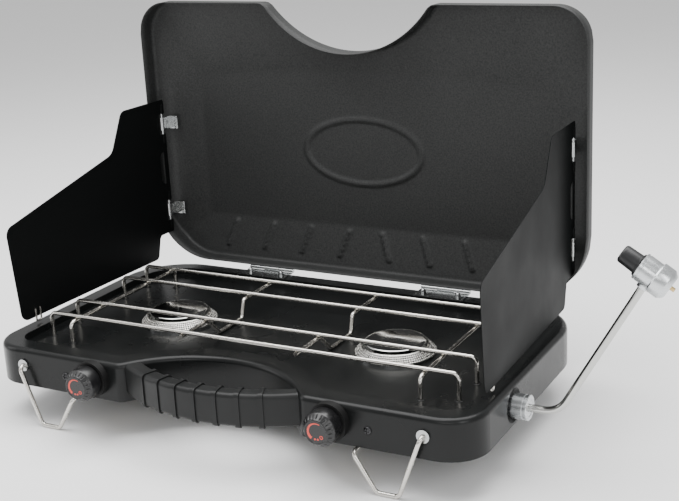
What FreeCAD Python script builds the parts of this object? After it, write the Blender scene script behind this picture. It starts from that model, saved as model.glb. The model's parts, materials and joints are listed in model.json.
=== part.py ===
"""Two-burner propane camping stove: pressed steel tray, upright lid, side windscreens, grate and gas arm.

Millimetres. +X to the right of the cook, +Y away from the cook, +Z up.
The origin is on the table plane, below the middle of the tray.
"""
import FreeCAD, Part
import math
import os
import re
import Sketcher

from FreeCAD import Placement, Rotation, Vector

SIZES = {
    # pressed tray
    "body_width": 612.0,
    "body_depth": 348.0,
    "wall_height": 45.0,
    "foot_height": 45.0,
    "body_sheet": 1.0,
    "corner_radius": 42.0,
    "rear_corner": 80.0,
    "edge_radius": 6.0,
    "ledge_width": 24.0,
    "floor_drop": 8.5,
    "floor_corner": 22.0,
    "recess_radius": 138.0,
    "recess_depth": 61.0,
    "recess_corner": 12.0,
    "dimple_radius": 19.0,
    "dimple_flat": 12.5,
    "dimple_depth": 7.0,
    # carrying handle
    "grip_radius": 209.0,
    "grip_reach": 26.0,
    "grip_width": 20.0,
    "grip_height": 37.0,
    "grip_drop": 1.0,
    "grip_rounding": 5.0,
    "rib_count": 7.0,
    "rib_pitch": 7.0,
    "rib_angle": 1.5,
    "rib_rise": 1.4,
    # knobs and valves
    "knob_x": 151.0,
    "valve_rise": 25.0,
    "bezel_radius": 21.0,
    "bezel_length": 9.0,
    "knob_radius": 18.5,
    "knob_length": 23.0,
    "knob_bevel": 6.0,
    "knob_face": 13.0,
    "knob_gap": 1.5,
    "flute_count": 18.0,
    "flute_radius": 1.1,
    "stem_radius": 3.0,
    "stem_clearance": 0.1,
    "valve_width": 26.0,
    "valve_length": 24.0,
    "valve_height": 30.0,
    "jet_radius": 3.5,
    "jet_length": 10.0,
    "screw_rise": 20.0,
    "screw_head": 4.5,
    "screw_shank": 2.0,
    # burners
    "burner_x": 146.0,
    "burner_y": -11.0,
    "ring_radius": 46.5,
    "ring_top_radius": 37.5,
    "ring_base": 3.0,
    "ring_rise": 9.0,
    "ring_sheet": 1.0,
    "cup_lip": 0.5,
    "cup_throat": 27.0,
    "cup_depth": 26.0,
    "cup_wall": 1.5,
    "cap_radius": 35.0,
    "cap_thickness": 2.0,
    "cap_lift": 1.5,
    "post_radius": 5.0,
    "tube_radius": 7.0,
    "tube_wall": 1.2,
    # gas inlet, arm and regulator
    "inlet_y": -66.0,
    "inlet_rise": 21.5,
    "inlet_flange_radius": 10.5,
    "inlet_flange": 3.0,
    "spigot_radius": 7.5,
    "spigot_length": 12.0,
    "nut_radius": 11.5,
    "nut_length": 21.0,
    "nut_collar": 4.0,
    "nut_collar_radius": 13.5,
    "thread_clearance": 0.1,
    "manifold_radius": 4.0,
    "branch_radius": 3.5,
    "manifold_gap": 15.0,
    "manifold_rise": 7.5,
    "arm_radius": 4.0,
    "arm_bend": 28.0,
    "arm_standoff": 48.0,
    "arm_length": 181.6,
    "arm_angle": 60.2,
    "regulator_angle": 57.4,
    "socket_radius": 12.1,
    "socket_depth": 13.0,
    "collar_radius": 14.2,
    "collar_reach": 13.0,
    "collar_length": 18.0,
    "drum_radius": 16.0,
    "drum_length": 17.0,
    "drum_chamfer": 4.5,
    "pin_radius": 2.1,
    "pin_length": 4.5,
    "plug_fit": 0.1,
    "plug_insert": 9.0,
    "plug_radius": 9.8,
    "plug_length": 21.0,
    # wire legs
    "leg_wire": 5.0,
    "leg_bend": 7.0,
    "leg_inset": 53.0,
    "rear_leg_inset": 99.0,
    "leg_pivot_rise": 25.0,
    "leg_slant": 25.0,
    "leg_foot": 25.0,
    "leg_return": 25.0,
    "leg_standoff": 8.0,
    "leg_hook_reach": 10.0,
    "leg_stop_gap": 0.2,
    "bushing_radius": 7.0,
    "bushing_flange": 2.0,
    "bushing_length": 12.0,
    "bushing_play": 0.1,
    # lid and its hinges
    "lid_sheet": 1.0,
    "lid_gap": 1.6,
    "lid_rim": 24.0,
    "panel_rise": 14.0,
    "panel_side": 66.0,
    "panel_rear": 57.0,
    "panel_front": 101.0,
    "panel_corner": 24.0,
    "hinge_x": 126.0,
    "hinge_width": 66.0,
    "hinge_plate": 1.2,
    "hinge_reach": 26.0,
    "barrel_radius": 2.4,
    "barrel_pin": 1.2,
    "barrel_gap": 0.3,
    "barrel_middle": 22.0,
    "lid_leaf_reach": 20.0,
    "nut_spread": 46.8,
    "nut_margin": 14.0,
    "capnut_radius": 3.6,
    "capnut_height": 4.0,
    # windscreens
    "screen_sheet": 0.8,
    "screen_side": 18.0,
    "screen_hinge_in": 6.0,
    "screen_splay": 1.6,
    "screen_lift": 8.0,
    "screen_rise": 223.0,
    "screen_shoulder": 84.0,
    "screen_step_x": 110.0,
    "screen_step_rise": 172.0,
    "screen_short": 36.0,
    "screen_front_rise": 126.0,
    "screen_tuck": 9.0,
    "screen_heel": 34.0,
    "screen_heel_rise": 39.0,
    "screen_edge": 5.0,
    "screen_corner": 12.0,
    "knuckle_high_rise": 190.0,
    "knuckle_low_rise": 70.0,
    "pin_wire": 2.5,
    "pin_span": 52.0,
    "notch_height": 28.0,
    "notch_reach": 7.0,
    "curl_radius": 2.1,
    "strap_height": 17.0,
    "strap_sheet": 1.0,
    "strap_play": 0.1,
    "strap_flange": 13.0,
    "rivet_radius": 2.6,
    "slot_height": 44.0,
    "slot_width": 9.0,
    "hook_wire": 2.5,
    "hook_back": 30.0,
    "hook_rise": 16.0,
    "hook_turn": 8.0,
    "hook_clearance": 2.0,
    # grate
    "grate_wire": 4.8,
    "grate_height": 31.5,
    "grate_margin": 19.0,
    "grate_bend": 7.0,
    "grate_front": -106.8,
    "grate_front_inner": -59.2,
    "grate_rear_inner": 34.2,
    "grate_rear": 83.4,
    "cross_inset": 38.0,
    "cross_overhang": 11.0,
    "saddle_x": 74.5,
    "saddle_down": -32.0,
    "saddle_up": 18.0,
    "saddle_slope": 6.0,
}

doc = FreeCAD.newDocument("camping_stove")
sheet = doc.addObject("Spreadsheet::Sheet", "Sizes")
for row, (alias, size) in enumerate(SIZES.items(), start=1):
    sheet.set(f"A{row}", alias)
    sheet.set(f"B{row}", str(size))
    sheet.setAlias(f"B{row}", alias)
doc.recompute()

# Heights and places that several pieces share, as formulas of the sheet's cells.
FORMULAS = {
    "rim_top": "(foot_height + wall_height)",
    "floor_top": "(foot_height + wall_height - floor_drop)",
    "front_face": "(0 - body_depth / 2)",
    "side_face": "(body_width / 2)",
    "recess_centre": "(recess_depth - recess_radius - body_depth / 2)",
    "lid_hinge_y": "(body_depth / 2 + barrel_radius + barrel_gap)",
    "lid_hinge_z": "(foot_height + wall_height + hinge_plate + barrel_radius - barrel_gap * 2)",
}
FORMULAS["lid_plane"] = "(lid_hinge_y + rim_top + lid_gap - lid_hinge_z)"
FORMULAS["lid_base"] = "(lid_hinge_y + lid_hinge_z)"
FORMULAS["screen_hinge_y"] = "(lid_plane + screen_hinge_in)"
FORMULAS["screen_hinge_x"] = "(side_face - screen_side)"
FORMULAS["screen_reach"] = "(body_depth - screen_short)"
FORMULAS["screen_foot"] = "(body_depth - screen_short - screen_tuck)"
for level in ("screen_step", "screen_front", "screen_heel", "knuckle_high", "knuckle_low"):
    FORMULAS[level + "_z"] = f"(rim_top + {level}_rise)"
FORMULAS["screen_low_z"] = "(rim_top + screen_lift)"
FORMULAS["screen_high_z"] = "(rim_top + screen_rise)"
for level in ("valve", "screw", "inlet", "manifold", "leg_pivot"):
    FORMULAS[level + "_z"] = f"(foot_height + {level}_rise)"
FORMULAS["cup_radius"] = "(ring_radius - cup_lip)"
FORMULAS["manifold_y"] = "(front_face + recess_depth + manifold_gap)"
FORMULAS["arm_bend_x"] = "(side_face + arm_standoff)"
FORMULAS["leg_pivot_x"] = "(side_face - leg_inset)"
FORMULAS["rear_leg_pivot_x"] = "(side_face - rear_leg_inset)"
FORMULAS["panel_width"] = "(body_width - 2 * panel_side)"
FORMULAS["panel_depth"] = "(body_depth - panel_rear - panel_front)"
FORMULAS["panel_centre"] = "((panel_front - panel_rear) / 2)"
FORMULAS["nut_y"] = "(body_depth / 2 - nut_margin)"
FORMULAS["grate_half"] = "(side_face - ledge_width - grate_margin)"
FORMULAS["cross_x"] = "(grate_half - cross_inset)"
# the pan screws stand about a quarter of the way from the knob bezels to the leg bushings
FORMULAS["screw_x"] = ("(knob_x + bezel_radius"
                       " + (leg_pivot_x - bushing_radius - knob_x - bezel_radius) * 0.27)")
WORD = re.compile(r"[a-z][a-z_]+")
MATHS = {"sin", "cos", "tan", "sqrt", "deg"}
UP = Rotation()
BACK = Rotation(Vector(1, 0, 0), -90)
FORTH = Rotation(Vector(1, 0, 0), 90)
RIGHT = Rotation(Vector(0, 1, 0), 90)
SIDES = {"l": -1, "r": 1}
subparts = []


def bound(formula):
    """A formula in cell names, as an expression on the spreadsheet."""
    formula = str(formula)
    for _ in range(3):
        formula = WORD.sub(lambda word: FORMULAS.get(word.group(), word.group()), formula)
    return WORD.sub(
        lambda word: word.group() if word.group() in MATHS else "Sizes." + word.group(), formula)


def value(formula):
    """The number that a formula in cell names gives now."""
    names = {name: float(sheet.get(name)) for name in SIZES}
    formula = str(formula)
    for _ in range(3):
        formula = WORD.sub(lambda word: FORMULAS.get(word.group(), word.group()), formula)
    total = FreeCAD.Units.Quantity(WORD.sub(
        lambda word: word.group() if word.group() in MATHS else f"({names[word.group()]!r})", formula))
    return float(total.Value)


def point(x, y, z):
    return Vector(value(x), value(y), value(z))


def bind(obj, **formulas):
    for name, formula in formulas.items():
        obj.setExpression(name, bound(formula))
    return obj


def put(obj, at, turn=UP):
    """Place an object with its base bound to three formulas."""
    obj.Placement = Placement(point(*at), turn)
    for axis, formula in zip("xyz", at):
        obj.setExpression("Placement.Base." + axis, bound(formula))
    return obj


def cylinder(name, radius, height, at, turn=UP):
    obj = doc.addObject("Part::Cylinder", name)
    bind(obj, Radius=radius, Height=height)
    return put(obj, at, turn)


def cone(name, low, high, height, at, turn=UP):
    obj = doc.addObject("Part::Cone", name)
    bind(obj, Radius1=low, Radius2=high, Height=height)
    return put(obj, at, turn)


def box(name, length, width, height, at, turn=UP):
    obj = doc.addObject("Part::Box", name)
    bind(obj, Length=length, Width=width, Height=height)
    return put(obj, at, turn)


def sphere(name, radius, at):
    obj = doc.addObject("Part::Sphere", name)
    bind(obj, Radius=radius)
    return put(obj, at)


def fuse(name, *pieces):
    obj = doc.addObject("Part::MultiFuse", name)
    obj.Shapes = list(pieces)
    return obj


def cut(name, base, *tools):
    obj = doc.addObject("Part::Cut", name)
    obj.Base = base
    obj.Tool = tools[0] if len(tools) == 1 else fuse(name + "_tools", *tools)
    return obj


def common(name, base, tool):
    obj = doc.addObject("Part::Common", name)
    obj.Base = base
    obj.Tool = tool
    return obj


def turned(name, source, at, turn):
    """A copy of an object carried by a placement, for pieces drawn in their own plane."""
    obj = doc.addObject("Part::Compound", name)
    obj.Links = [source]
    return put(obj, at, turn)


def keep(obj, label):
    """Name an object as a finished sub-part."""
    obj.Label = label
    subparts.append(obj)
    return obj


def shape_part(label, shape):
    """A sub-part whose shape comes from Part's own functions, such as a bent wire."""
    obj = doc.addObject("Part::Feature", label + "_shape")
    place = shape.Placement
    obj.Shape = shape
    obj.Placement = place
    return keep(obj, label)


def bent_wire(points, diameter, bend):
    """A round wire along straight runs, with a tangent arc of one radius at each corner."""
    edges = []
    start = points[0]
    for before, corner, after in zip(points, points[1:], points[2:]):
        inward = (before - corner).normalize()
        outward = (after - corner).normalize()
        half = inward.getAngle(outward) / 2
        trim = bend / math.tan(half)
        first = corner + inward * trim
        last = corner + outward * trim
        middle = corner + (inward + outward).normalize() * (bend / math.sin(half) - bend)
        edges.append(Part.makeLine(start, first))
        edges.append(Part.Arc(first, middle, last).toShape())
        start = last
    edges.append(Part.makeLine(start, points[-1]))
    ring = Part.Wire(Part.makeCircle(diameter / 2, points[0], points[1] - points[0]))
    solid = Part.Wire(edges).makePipeShell([ring], True, False)
    return solid.Solids[0]


def origin_plane(body, role):
    return next(plane for plane in body.Origin.OriginFeatures if plane.Role == role)


def new_sketch(body, name, level):
    """An empty sketch on the body's XY plane, lifted to a level."""
    sketch = body.newObject("Sketcher::SketchObject", name)
    sketch.AttachmentSupport = [(origin_plane(body, "XY_Plane"), "")]
    sketch.MapMode = "FlatFace"
    bind(sketch, **{"AttachmentOffset.Base.z": level})
    return sketch


def rounded_rectangle(body, name, width, depth, front_radius, rear_radius, level, centre="0"):
    """A fully constrained rectangle, centred on the Y axis, with its own corner radius at each end."""
    sketch = new_sketch(body, name, level)
    bind(sketch, **{"AttachmentOffset.Base.y": centre})
    half_x = value(width) / 2
    half_y = value(depth) / 2
    corners = [(1, 1), (-1, 1), (-1, -1), (1, -1)]
    radii = [value(rear_radius), value(rear_radius), value(front_radius), value(front_radius)]
    middles = [Vector(across * (half_x - r), along * (half_y - r), 0)
               for (across, along), r in zip(corners, radii)]
    for corner, (middle, r) in enumerate(zip(middles, radii)):
        start = corner * math.pi / 2
        circle = Part.Circle(middle, Vector(0, 0, 1), r)
        sketch.addGeometry(Part.ArcOfCircle(circle, start, start + math.pi / 2))
        following = (corner + 1) % 4
        outward = Vector(math.cos(start + math.pi / 2), math.sin(start + math.pi / 2), 0)
        sketch.addGeometry(Part.LineSegment(middle + outward * r, middles[following] + outward * radii[following]))
    rules = []
    for corner in range(4):
        arc = 2 * corner
        line = arc + 1
        rules.append(Sketcher.Constraint("Tangent", arc, 2, line, 1))
        rules.append(Sketcher.Constraint("Tangent", line, 2, (arc + 2) % 8, 1))
        rules.append(Sketcher.Constraint("Vertical" if corner % 2 else "Horizontal", line))
    rules.append(Sketcher.Constraint("Equal", 0, 2))
    rules.append(Sketcher.Constraint("Equal", 4, 6))
    sketch.addConstraint(rules)
    drives = {
        "rear_corner": (Sketcher.Constraint("Radius", 0, radii[0]), rear_radius),
        "front_corner": (Sketcher.Constraint("Radius", 4, radii[2]), front_radius),
        "across": (Sketcher.Constraint("DistanceX", 3, 1, 7, 1, 2 * half_x), width),
        "half_across": (Sketcher.Constraint("DistanceX", -1, 1, 7, 1, half_x), f"({width}) / 2"),
        "along": (Sketcher.Constraint("DistanceY", 5, 1, 1, 1, 2 * half_y), depth),
        "half_along": (Sketcher.Constraint("DistanceY", -1, 1, 1, 1, half_y), f"({depth}) / 2"),
    }
    for title, (rule, formula) in drives.items():
        sketch.renameConstraint(sketch.addConstraint(rule), title)
        sketch.setExpression("Constraints." + title, bound(formula))
    return sketch


def circle_sketch(body, name, radius, centre_y, level):
    """A circle centred on the Y axis."""
    sketch = new_sketch(body, name, level)
    bind(sketch, **{"AttachmentOffset.Base.y": centre_y})
    sketch.addGeometry(Part.Circle(Vector(), Vector(0, 0, 1), value(radius)))
    sketch.addConstraint(Sketcher.Constraint("Coincident", 0, 3, -1, 1))
    sketch.renameConstraint(sketch.addConstraint(Sketcher.Constraint("Radius", 0, value(radius))), "size")
    sketch.setExpression("Constraints.size", bound(radius))
    return sketch


def pad(body, name, sketch, length):
    feature = body.newObject("PartDesign::Pad", name)
    feature.Profile = sketch
    bind(feature, Length=length)
    doc.recompute()
    return feature


def pocket_through(body, name, sketch):
    """Cut a sketch upward through everything above it, and check that it cut."""
    before = body.Shape.Volume
    feature = body.newObject("PartDesign::Pocket", name)
    feature.Profile = sketch
    feature.Type = "ThroughAll"
    feature.Reversed = True
    doc.recompute()
    if body.Shape.Volume > before - 1:
        raise RuntimeError(name + " cut nothing")
    return feature


def fillet(body, name, chosen, radius):
    """Round the edges of the body's last feature that a test picks."""
    base = body.Tip
    names = [f"Edge{i}" for i, edge in enumerate(base.Shape.Edges, start=1) if chosen(edge)]
    feature = body.newObject("PartDesign::Fillet", name)
    feature.Base = (base, names)
    bind(feature, Radius=radius)
    doc.recompute()
    return feature


def upright_at_recess(edge):
    """True for the two upright edges where the front recess meets a straight front wall."""
    bounds = edge.BoundBox
    upright = bounds.ZLength > 1 and bounds.XLength < 0.01 and bounds.YLength < 0.01
    return upright and abs(bounds.XMin) < value("recess_radius + ledge_width")


# --- pressed tray ---------------------------------------------------------------------------------

def tray_block(name, inset):
    """The tray as a solid block: outline with the front recess, rounded top and sunken floor."""
    outline = doc.addObject("PartDesign::Body", name + "_outline")
    base = f"foot_height - 2 * ({inset})"
    top = f"rim_top - ({inset})"
    plan = rounded_rectangle(outline, name + "_plan", f"body_width - 2 * ({inset})",
                             f"body_depth - 2 * ({inset})", f"corner_radius - ({inset})",
                             f"rear_corner - ({inset})", base)
    pad(outline, name + "_pad", plan, f"({top}) - ({base})")
    bite = circle_sketch(outline, name + "_bite", f"recess_radius + ({inset})", "recess_centre", base)
    pocket_through(outline, name + "_recess", bite)
    fillet(outline, name + "_recess_corners", upright_at_recess, f"recess_corner - ({inset})")
    level = value(top)
    fillet(outline, name + "_top_edge",
           lambda edge: edge.BoundBox.ZMin > level - 0.01, f"edge_radius - ({inset})")
    sunk = doc.addObject("PartDesign::Body", name + "_sunk")
    floor = f"floor_top - ({inset})"
    inner = rounded_rectangle(sunk, name + "_floor", f"body_width - 2 * (ledge_width - ({inset}))",
                              f"body_depth - 2 * (ledge_width - ({inset}))",
                              f"floor_corner + ({inset})", f"rear_corner - ledge_width + ({inset})", floor)
    pad(sunk, name + "_floor_pad", inner, "floor_drop * 2")
    keep_out = circle_sketch(sunk, name + "_ledge", f"recess_radius + ledge_width - ({inset})",
                             "recess_centre", floor)
    pocket_through(sunk, name + "_ledge_cut", keep_out)
    fillet(sunk, name + "_ledge_corners", upright_at_recess, f"recess_corner + ({inset})")
    return cut(name, outline, sunk)


outer = tray_block("tray_outer", "0")
inner = tray_block("tray_inner", "body_sheet")
dimple = cone("dimple", "dimple_flat", "dimple_radius", "dimple_depth",
              ("side_face - dimple_depth", "inlet_y", "inlet_z"), RIGHT)
dimple_back = cone("dimple_back", "dimple_flat + body_sheet", "dimple_radius + body_sheet",
                   "dimple_depth + body_sheet",
                   ("side_face - dimple_depth - body_sheet", "inlet_y", "inlet_z"), RIGHT)
pressed = cut("pressed_outside", outer, dimple)
hollow = cut("pressed_inside", inner, dimple_back)

holes = [cylinder("inlet_hole", "spigot_radius", "30", ("side_face - 20", "inlet_y", "inlet_z"), RIGHT)]
for side, sign in SIDES.items():
    holes.append(cylinder(f"burner_hole_{side}", "cup_throat", "20",
                          (f"{sign} * burner_x", "burner_y", "floor_top - 10"), UP))
    holes.append(cylinder(f"valve_hole_{side}", "stem_radius + 2", "20",
                          (f"{sign} * knob_x", "front_face - 10", "valve_z"), BACK))
    holes.append(cylinder(f"screw_hole_{side}", "screw_shank", "20",
                          (f"{sign} * screw_x", "front_face - 10", "screw_z"), BACK))
    for end, face, pivot in (("front", "front_face", "leg_pivot_x"), ("back", "0 - front_face", "rear_leg_pivot_x")):
        holes.append(cylinder(f"leg_hole_{end}_{side}", "bushing_radius - 2", "20",
                              (f"{sign} * {pivot}", f"{face} - 10", "leg_pivot_z"), BACK))
body_shell = keep(cut("pressed_tray", pressed, hollow, *holes), "body_shell")

# --- carrying handle ------------------------------------------------------------------------------

grip_apex = "(front_face - grip_reach)"
grip_centre = f"({grip_apex} + grip_radius)"
grip_base = "(rim_top - grip_drop - grip_height)"


def grip_ring(name, rise, spread, turn_by):
    """A piece of the grip's ring: a rounded bar turned about the grip's own upright axis."""
    tall = value("grip_height") + 2 * rise
    wide = value("grip_width") + 2 * rise
    middle = value("grip_radius - grip_width / 2")
    bar = Part.makeBox(wide, 0.01, tall)
    bar.Placement = Placement(Vector(middle - wide / 2, 0, value(grip_base) - rise), Rotation())
    outline = max(bar.Faces, key=lambda face: abs(face.normalAt(0, 0).y) * face.Area)
    solid = outline.revolve(Vector(), Vector(0, 0, 1), spread)
    rounded = [edge for edge in solid.Edges if edge.BoundBox.XLength + edge.BoundBox.YLength > 1
               and isinstance(edge.Curve, Part.Circle)]
    solid = solid.makeFillet(value("grip_rounding"), rounded)
    solid.Placement = Placement(Vector(0, value(grip_centre), 0),
                                Rotation(Vector(0, 0, 1), turn_by - 90 - spread / 2))
    return solid


grip_spread = 2 * math.degrees(math.asin(value("recess_radius") / value("grip_radius")))
grip_shape = grip_ring("grip", 0, grip_spread, 0)
for index in range(int(value("rib_count"))):
    angle = (index - (value("rib_count") - 1) / 2) * value("rib_pitch")
    grip_shape = grip_shape.fuse(grip_ring("rib", value("rib_rise"), value("rib_angle"), angle))
grip_bar = doc.addObject("Part::Feature", "grip_bar")
grip_bar.Shape = grip_shape
grip_bar.Placement = Placement()
mouth = cylinder("handle_mouth", "recess_radius", "wall_height * 2",
                 ("0", "recess_centre", "foot_height - wall_height / 2"))
keep(common("handle", grip_bar, mouth), "handle_grip")

# --- knobs, valves and their screws ---------------------------------------------------------------

for side, sign in SIDES.items():
    x = f"({sign} * knob_x)"
    wall = "(front_face + body_sheet)"
    bezel = cylinder(f"bezel_disc_{side}", "bezel_radius", "bezel_length", (x, "front_face", "valve_z"), FORTH)
    bezel_bore = cylinder(f"bezel_bore_{side}", "stem_radius + 2", "bezel_length",
                          (x, "front_face", "valve_z"), FORTH)
    keep(cut(f"bezel_{side}", bezel, bezel_bore), f"knob_bezel_{side}")

    knob_back = "(front_face - bezel_length - knob_gap)"
    skirt = cylinder(f"knob_skirt_{side}", "knob_radius", "knob_length - knob_bevel",
                     (x, knob_back, "valve_z"), FORTH)
    bevel = cone(f"knob_cone_{side}", "knob_radius", "knob_face", "knob_bevel",
                 (x, f"{knob_back} - knob_length + knob_bevel", "valve_z"), FORTH)
    solid = fuse(f"knob_solid_{side}", skirt, bevel)
    flutes = []
    for index in range(int(value("flute_count"))):
        angle = 2 * math.pi * index / value("flute_count")
        flutes.append(cylinder(
            f"flute_{side}_{index}", "flute_radius", "knob_length * 0.75",
            (f"{x} + knob_radius * ({math.cos(angle):.5f})", f"{knob_back} - knob_length * 0.25",
             f"valve_z + knob_radius * ({math.sin(angle):.5f})"), FORTH))
    stem_bore = cylinder(f"knob_bore_{side}", "stem_radius", "knob_length - 6", (x, knob_back, "valve_z"), FORTH)
    keep(cut(f"knob_{side}_cut", solid, stem_bore, *flutes), f"knob_{side}")

    stem_back = f"({wall} + valve_length * 0.6)"
    keep(cylinder(f"stem_{side}", "stem_radius", f"{stem_back} - {knob_back} + knob_length - 6",
                  (x, stem_back, "valve_z"), FORTH), f"valve_stem_{side}")

    block = box(f"valve_block_{side}", "valve_width", "valve_length", "valve_height",
                (f"{x} - valve_width / 2", wall, "valve_z + 8 - valve_height"))
    jet = cylinder(f"jet_{side}", "jet_radius", "jet_length",
                   (f"{sign} * burner_x", f"{wall} + valve_length", "valve_z"), BACK)
    valve = fuse(f"valve_solid_{side}", block, jet)
    valve_bore = cylinder(f"valve_bore_{side}", "stem_radius + stem_clearance", "valve_length * 0.6 + 0.5",
                          (x, wall, "valve_z"), BACK)
    keep(cut(f"valve_{side}", valve, valve_bore), f"valve_body_{side}")

front_screws = []
for side, sign in SIDES.items():
    x = f"({sign} * screw_x)"
    head = cylinder(f"screw_head_{side}", "screw_head", "2.4", (x, "front_face", "screw_z"), FORTH)
    shank = cylinder(f"screw_shank_{side}", "screw_shank", "9",
                     (x, "front_face", "screw_z"), BACK)
    front_screws.append(fuse(f"screw_{side}", head, shank))
for side, screw in zip(SIDES, front_screws):
    keep(screw, f"front_screw_{side}")

# --- burners --------------------------------------------------------------------------------------

for side, sign in SIDES.items():
    x = f"({sign} * burner_x)"
    y = "burner_y"
    ring_foot = "(floor_top + ring_base)"
    cup_low = "(floor_top - cup_depth)"
    flange = cylinder(f"cup_flange_{side}", "cup_radius", "ring_base", (x, y, "floor_top"))
    throat = cylinder(f"cup_throat_{side}", "cup_throat", "cup_depth", (x, y, cup_low))
    cup_solid = fuse(f"cup_solid_{side}", flange, throat)
    well = cylinder(f"cup_well_{side}", "cup_throat - cup_wall", "cup_depth + ring_base",
                    (x, y, f"{cup_low} + cup_wall"))
    port = cylinder(f"cup_port_{side}", "tube_radius", "cup_throat", (x, y, "valve_z"), FORTH)
    post = cylinder(f"cup_post_{side}", "post_radius", "cup_depth + ring_base + ring_rise + cap_lift - cup_wall",
                    (x, y, f"{cup_low} + cup_wall"))
    keep(fuse(f"cup_{side}", cut(f"cup_shell_{side}", cup_solid, well, port), post), f"burner_cup_{side}")

    ring_out = cone(f"ring_out_{side}", "ring_radius", "ring_top_radius", "ring_rise", (x, y, ring_foot))
    ring_in = cone(f"ring_in_{side}", "ring_radius - ring_sheet", "ring_top_radius - ring_sheet",
                   "ring_rise", (x, y, ring_foot))
    keep(cut(f"ring_{side}", ring_out, ring_in), f"burner_ring_{side}")

    cap_level = f"({ring_foot} + ring_rise + cap_lift)"
    keep(cylinder(f"cap_{side}", "cap_radius", "cap_thickness", (x, y, cap_level)), f"burner_cap_{side}")

    tube_rear = "(burner_y - sqrt(cup_throat * cup_throat - tube_radius * tube_radius) + 0.4)"
    tube_front = "(front_face + body_sheet + valve_length + jet_length * 0.4)"
    tube = cylinder(f"tube_out_{side}", "tube_radius", f"{tube_rear} - {tube_front}",
                    (x, tube_front, "valve_z"), BACK)
    tube_in = cylinder(f"tube_in_{side}", "tube_radius - tube_wall", f"{tube_rear} - {tube_front}",
                       (x, tube_front, "valve_z"), BACK)
    keep(cut(f"tube_{side}", tube, tube_in), f"venturi_tube_{side}")

# --- gas line inside the tray ---------------------------------------------------------------------

inlet_inside = "(side_face - dimple_depth - 12)"
valve_rear = "(front_face + body_sheet + valve_length)"
main_run = bent_wire([
    point(inlet_inside, "inlet_y", "inlet_z"),
    point(f"{inlet_inside} - 22", "inlet_y", "inlet_z"),
    point(f"{inlet_inside} - 46", "manifold_y", "manifold_z"),
    point("0 - knob_x", "manifold_y", "manifold_z"),
    point("0 - knob_x", valve_rear, "manifold_z")], 2 * value("manifold_radius"), 9.0)
branch = Part.makeCylinder(value("branch_radius"), value(f"manifold_y - {valve_rear}"),
                           point("knob_x", valve_rear, "manifold_z"), Vector(0, 1, 0))
shape_part("manifold_pipe", main_run.fuse(branch))

# --- gas inlet on the side wall -------------------------------------------------------------------

inlet_seat = "(side_face - dimple_depth)"
flange = cylinder("fitting_flange", "inlet_flange_radius", "inlet_flange", (inlet_seat, "inlet_y", "inlet_z"), RIGHT)
flange_in = cylinder("fitting_locknut", "inlet_flange_radius", "6",
                     (f"{inlet_seat} - body_sheet - 6", "inlet_y", "inlet_z"), RIGHT)
spigot_end = "(side_face - dimple_depth + inlet_flange + spigot_length)"
spigot = cylinder("fitting_spigot", "spigot_radius", f"{spigot_end} - {inlet_inside}",
                  (inlet_inside, "inlet_y", "inlet_z"), RIGHT)
keep(fuse("fitting", flange, flange_in, spigot), "inlet_fitting")

nut_start = f"({inlet_seat} + inlet_flange + 0.4)"
nut_body = cylinder("nut_body", "nut_radius", "nut_length", (nut_start, "inlet_y", "inlet_z"), RIGHT)
nut_collar = cylinder("nut_ring", "nut_collar_radius", "nut_collar",
                      (f"{nut_start} + nut_length - nut_collar", "inlet_y", "inlet_z"), RIGHT)
nut_thread = cylinder("nut_thread", "spigot_radius + thread_clearance", f"{spigot_end} - {nut_start} + 0.6",
                      (nut_start, "inlet_y", "inlet_z"), RIGHT)
nut_exit = cylinder("nut_exit", "arm_radius + thread_clearance", "nut_length + 1",
                    (nut_start, "inlet_y", "inlet_z"), RIGHT)
keep(cut("nut", fuse("nut_solid", nut_body, nut_collar), nut_thread, nut_exit), "coupling_nut")

# --- gas arm and regulator ------------------------------------------------------------------------

arm_turn = math.radians(value("arm_angle"))
arm_way = Vector(math.cos(arm_turn), 0, math.sin(arm_turn))
regulator_turn = math.radians(value("regulator_angle"))
socket_way = Vector(-math.sin(regulator_turn), 0, math.cos(regulator_turn))
elbow = point("arm_bend_x", "inlet_y", "inlet_z")
hub = elbow + arm_way * value("arm_length")
collar_mouth = hub + socket_way * value("collar_reach")
arm_start = point(f"{spigot_end} + 0.2", "inlet_y", "inlet_z")
arm = bent_wire([arm_start, elbow, hub], 2 * value("arm_radius"), value("arm_bend"))
along_socket = Placement(collar_mouth, Rotation(Vector(0, 0, 1), socket_way * -1))


def along(shape, distance=0.0):
    """Carry a shape drawn on +Z so that +Z runs from the socket's mouth into the regulator."""
    moved = shape.copy()
    moved.Placement = along_socket.multiply(Placement(Vector(0, 0, distance), Rotation()))
    return moved


collar = along(Part.makeCylinder(value("collar_radius"), value("collar_length")))
drum_solid = Part.makeCylinder(value("drum_radius"), value("drum_length"))
drum_rim = [edge for edge in drum_solid.Edges
            if isinstance(edge.Curve, Part.Circle) and edge.BoundBox.ZMin > value("drum_length") - 0.1]
drum_solid = drum_solid.makeChamfer(value("drum_chamfer"), drum_rim)
drum = along(drum_solid, value("collar_length"))
boss = Part.makeCylinder(value("arm_radius + 2"), value("collar_radius + 3"),
                         hub - arm_way * value("collar_radius + 3"), arm_way)
socket = along(Part.makeCylinder(value("socket_radius"), value("socket_depth")))
regulator = collar.fuse([drum, boss]).cut(socket)
arm_cutter = Part.makeCylinder(value("collar_radius") * 3, 200, hub - arm_way * (value("collar_radius") + 3), arm_way)
shape_part("gas_tube", arm.cut(arm_cutter))
shape_part("regulator_body", regulator.removeSplitter())
pin_reach = value("collar_length + drum_length")
shape_part("regulator_pin", along(Part.makeCylinder(value("pin_radius"), value("pin_length")), pin_reach))
plug_inner = along(Part.makeCylinder(value("socket_radius - plug_fit"), value("plug_insert")), 0)
plug_cap = Part.makeCylinder(value("plug_radius"), value("plug_length"))
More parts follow.
